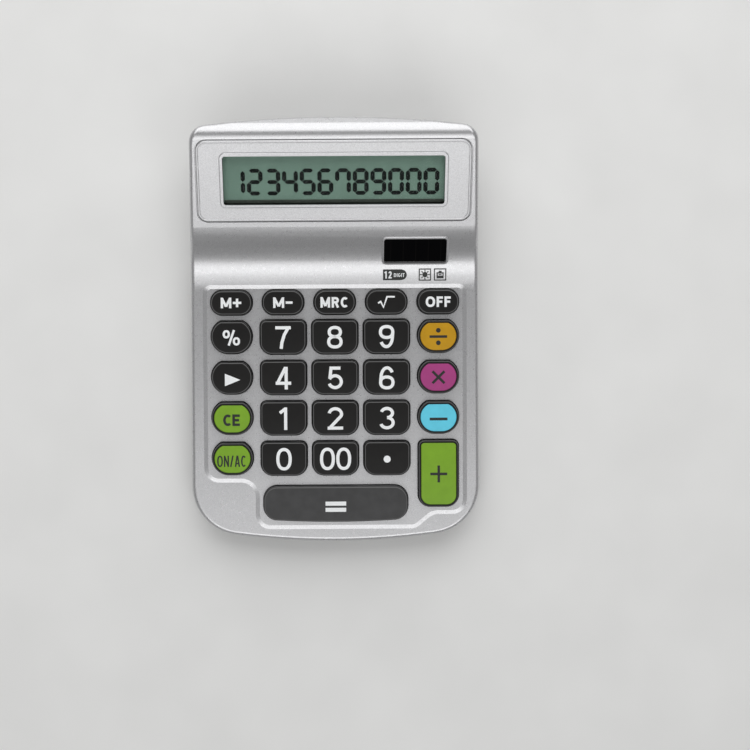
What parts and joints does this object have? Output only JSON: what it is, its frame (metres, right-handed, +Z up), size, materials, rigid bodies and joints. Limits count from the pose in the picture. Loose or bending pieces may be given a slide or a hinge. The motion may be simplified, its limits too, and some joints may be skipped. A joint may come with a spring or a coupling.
{
  "type": "desk calculator",
  "caption": "Desk calculator with a silver shell, sprung keys on a low plateau, and a raised tilted head that carries a display and a solar cell.",
  "frame": {"origin": "under the middle of the body's bounding box, on the desk that the rubber feet stand on", "axes": "+Z up, +Y from the front edge towards the display, +X to the right of someone using it"},
  "size_m": [0.0982, 0.142, 0.0402],
  "materials": {
    "silver_paint": "silver metallic paint, satin",
    "bezel_paint": "silver metallic paint, satin",
    "clear_window": "clear acrylic, polished",
    "lcd_glass": "grey-green reflective display",
    "black_plastic": "moulded",
    "ribbon_film": "amber film",
    "solar_glass": "black amorphous silicon under glass",
    "lead_sleeve": "wire sleeve",
    "board_laminate": "green solder mask",
    "epoxy": "black epoxy drop",
    "capacitor_sleeve": "shrink sleeve",
    "silicone": "translucent silicone",
    "carbon_rubber": "carbon-filled",
    "cell_steel": "nickel-plated",
    "contact_metal": "plated spring strip",
    "foot_rubber": "soft rubber",
    "screw_steel": "zinc-plated",
    "key_plastic": "charcoal, fine satin",
    "equals_plastic": "charcoal, fine satin",
    "green_face": "satin",
    "mustard_face": "satin",
    "magenta_face": "satin",
    "cyan_face": "satin"
  },
  "bodies": {
    "housing": {"upper_housing": "silver_paint", "lower_housing": "silver_paint", "display_bezel": "bezel_paint", "lcd_window": "clear_window", "lcd_panel": "lcd_glass", "lcd_holder": "black_plastic", "lcd_ribbon": "ribbon_film", "solar_cell": "solar_glass", "solar_leads": "lead_sleeve", "main_board": "board_laminate", "processor": "epoxy", "capacitor": "capacitor_sleeve", "keypad_mat": "silicone", "contact_pills": "carbon_rubber", "button_cell": "cell_steel", "battery_top_contact": "contact_metal", "battery_side_contact": "contact_metal", "battery_leads": "contact_metal", "rubber_feet": "foot_rubber", "housing_screws": "screw_steel", "small_screws": "screw_steel"},
    "battery_door": {"battery_door": "silver_paint"},
    "key_memory_plus": {"key_memory_plus": "key_plastic"},
    "key_memory_minus": {"key_memory_minus": "key_plastic"},
    "key_memory_recall": {"key_memory_recall": "key_plastic"},
    "key_root": {"key_root": "key_plastic"},
    "key_off": {"key_off": "key_plastic"},
    "key_percent": {"key_percent": "key_plastic"},
    "key_step": {"key_step": "key_plastic"},
    "key_0": {"key_0": "key_plastic"},
    "key_00": {"key_00": "key_plastic"},
    "key_point": {"key_point": "key_plastic"},
    "key_1": {"key_1": "key_plastic"},
    "key_2": {"key_2": "key_plastic"},
    "key_3": {"key_3": "key_plastic"},
    "key_4": {"key_4": "key_plastic"},
    "key_5": {"key_5": "key_plastic"},
    "key_6": {"key_6": "key_plastic"},
    "key_7": {"key_7": "key_plastic"},
    "key_8": {"key_8": "key_plastic"},
    "key_9": {"key_9": "key_plastic"},
    "key_equals": {"key_equals": "equals_plastic"},
    "key_clear_entry": {"key_clear_entry": "key_plastic", "inlay_clear_entry": "green_face"},
    "key_on_clear": {"key_on_clear": "key_plastic", "inlay_on_clear": "green_face"},
    "key_plus": {"key_plus": "key_plastic", "inlay_plus": "green_face"},
    "key_divide": {"key_divide": "key_plastic", "inlay_divide": "mustard_face"},
    "key_multiply": {"key_multiply": "key_plastic", "inlay_multiply": "magenta_face"},
    "key_minus": {"key_minus": "key_plastic", "inlay_minus": "cyan_face"}
  },
  "joints": [
    {"name": "key_memory_plus_press", "type": "slide", "parent": "housing", "child": "key_memory_plus", "axis": [0, 0.0523, -0.9986], "range_m": [0, 0.0013], "stiffness_N_per_m": 400, "springref_m": -0.0005, "deforming": ["keypad_mat"]},
    {"name": "key_memory_minus_press", "type": "slide", "parent": "housing", "child": "key_memory_minus", "axis": [0, 0.0523, -0.9986], "range_m": [0, 0.0013], "stiffness_N_per_m": 400, "springref_m": -0.0005, "deforming": ["keypad_mat"]},
    {"name": "key_memory_recall_press", "type": "slide", "parent": "housing", "child": "key_memory_recall", "axis": [0, 0.0523, -0.9986], "range_m": [0, 0.0013], "stiffness_N_per_m": 400, "springref_m": -0.0005, "deforming": ["keypad_mat"]},
    {"name": "key_root_press", "type": "slide", "parent": "housing", "child": "key_root", "axis": [0, 0.0523, -0.9986], "range_m": [0, 0.0013], "stiffness_N_per_m": 400, "springref_m": -0.0005, "deforming": ["keypad_mat"]},
    {"name": "key_off_press", "type": "slide", "parent": "housing", "child": "key_off", "axis": [0, 0.0523, -0.9986], "range_m": [0, 0.0013], "stiffness_N_per_m": 400, "springref_m": -0.0005, "deforming": ["keypad_mat"]},
    {"name": "key_percent_press", "type": "slide", "parent": "housing", "child": "key_percent", "axis": [0, 0.0523, -0.9986], "range_m": [0, 0.0013], "stiffness_N_per_m": 400, "springref_m": -0.0005, "deforming": ["keypad_mat"]},
    {"name": "key_step_press", "type": "slide", "parent": "housing", "child": "key_step", "axis": [0, 0.0523, -0.9986], "range_m": [0, 0.0013], "stiffness_N_per_m": 400, "springref_m": -0.0005, "deforming": ["keypad_mat"]},
    {"name": "key_0_press", "type": "slide", "parent": "housing", "child": "key_0", "axis": [0, 0.0523, -0.9986], "range_m": [0, 0.0013], "stiffness_N_per_m": 400, "springref_m": -0.0005, "deforming": ["keypad_mat"]},
    {"name": "key_00_press", "type": "slide", "parent": "housing", "child": "key_00", "axis": [0, 0.0523, -0.9986], "range_m": [0, 0.0013], "stiffness_N_per_m": 400, "springref_m": -0.0005, "deforming": ["keypad_mat"]},
    {"name": "key_point_press", "type": "slide", "parent": "housing", "child": "key_point", "axis": [0, 0.0523, -0.9986], "range_m": [0, 0.0013], "stiffness_N_per_m": 400, "springref_m": -0.0005, "deforming": ["keypad_mat"]},
    {"name": "key_1_press", "type": "slide", "parent": "housing", "child": "key_1", "axis": [0, 0.0523, -0.9986], "range_m": [0, 0.0013], "stiffness_N_per_m": 400, "springref_m": -0.0005, "deforming": ["keypad_mat"]},
    {"name": "key_2_press", "type": "slide", "parent": "housing", "child": "key_2", "axis": [0, 0.0523, -0.9986], "range_m": [0, 0.0013], "stiffness_N_per_m": 400, "springref_m": -0.0005, "deforming": ["keypad_mat"]},
    {"name": "key_3_press", "type": "slide", "parent": "housing", "child": "key_3", "axis": [0, 0.0523, -0.9986], "range_m": [0, 0.0013], "stiffness_N_per_m": 400, "springref_m": -0.0005, "deforming": ["keypad_mat"]},
    {"name": "key_4_press", "type": "slide", "parent": "housing", "child": "key_4", "axis": [0, 0.0523, -0.9986], "range_m": [0, 0.0013], "stiffness_N_per_m": 400, "springref_m": -0.0005, "deforming": ["keypad_mat"]},
    {"name": "key_5_press", "type": "slide", "parent": "housing", "child": "key_5", "axis": [0, 0.0523, -0.9986], "range_m": [0, 0.0013], "stiffness_N_per_m": 400, "springref_m": -0.0005, "deforming": ["keypad_mat"]},
    {"name": "key_6_press", "type": "slide", "parent": "housing", "child": "key_6", "axis": [0, 0.0523, -0.9986], "range_m": [0, 0.0013], "stiffness_N_per_m": 400, "springref_m": -0.0005, "deforming": ["keypad_mat"]},
    {"name": "key_7_press", "type": "slide", "parent": "housing", "child": "key_7", "axis": [0, 0.0523, -0.9986], "range_m": [0, 0.0013], "stiffness_N_per_m": 400, "springref_m": -0.0005, "deforming": ["keypad_mat"]},
    {"name": "key_8_press", "type": "slide", "parent": "housing", "child": "key_8", "axis": [0, 0.0523, -0.9986], "range_m": [0, 0.0013], "stiffness_N_per_m": 400, "springref_m": -0.0005, "deforming": ["keypad_mat"]},
    {"name": "key_9_press", "type": "slide", "parent": "housing", "child": "key_9", "axis": [0, 0.0523, -0.9986], "range_m": [0, 0.0013], "stiffness_N_per_m": 400, "springref_m": -0.0005, "deforming": ["keypad_mat"]},
    {"name": "key_equals_press", "type": "slide", "parent": "housing", "child": "key_equals", "axis": [0, 0.0523, -0.9986], "range_m": [0, 0.0013], "stiffness_N_per_m": 400, "springref_m": -0.0005, "deforming": ["keypad_mat"]},
    {"name": "key_clear_entry_press", "type": "slide", "parent": "housing", "child": "key_clear_entry", "axis": [0, 0.0523, -0.9986], "range_m": [0, 0.0013], "stiffness_N_per_m": 400, "springref_m": -0.0005, "deforming": ["keypad_mat"]},
    {"name": "key_on_clear_press", "type": "slide", "parent": "housing", "child": "key_on_clear", "axis": [0, 0.0523, -0.9986], "range_m": [0, 0.0013], "stiffness_N_per_m": 400, "springref_m": -0.0005, "deforming": ["keypad_mat"]},
    {"name": "key_plus_press", "type": "slide", "parent": "housing", "child": "key_plus", "axis": [0, 0.0523, -0.9986], "range_m": [0, 0.0013], "stiffness_N_per_m": 400, "springref_m": -0.0005, "deforming": ["keypad_mat"]},
    {"name": "key_divide_press", "type": "slide", "parent": "housing", "child": "key_divide", "axis": [0, 0.0523, -0.9986], "range_m": [0, 0.0013], "stiffness_N_per_m": 400, "springref_m": -0.0005, "deforming": ["keypad_mat"]},
    {"name": "key_multiply_press", "type": "slide", "parent": "housing", "child": "key_multiply", "axis": [0, 0.0523, -0.9986], "range_m": [0, 0.0013], "stiffness_N_per_m": 400, "springref_m": -0.0005, "deforming": ["keypad_mat"]},
    {"name": "key_minus_press", "type": "slide", "parent": "housing", "child": "key_minus", "axis": [0, 0.0523, -0.9986], "range_m": [0, 0.0013], "stiffness_N_per_m": 400, "springref_m": -0.0005, "deforming": ["keypad_mat"]},
    {"name": "battery_door_lift", "type": "slide", "parent": "housing", "child": "battery_door", "axis": [0, 0, -1], "range_m": [0, 0.012]}
  ]
}
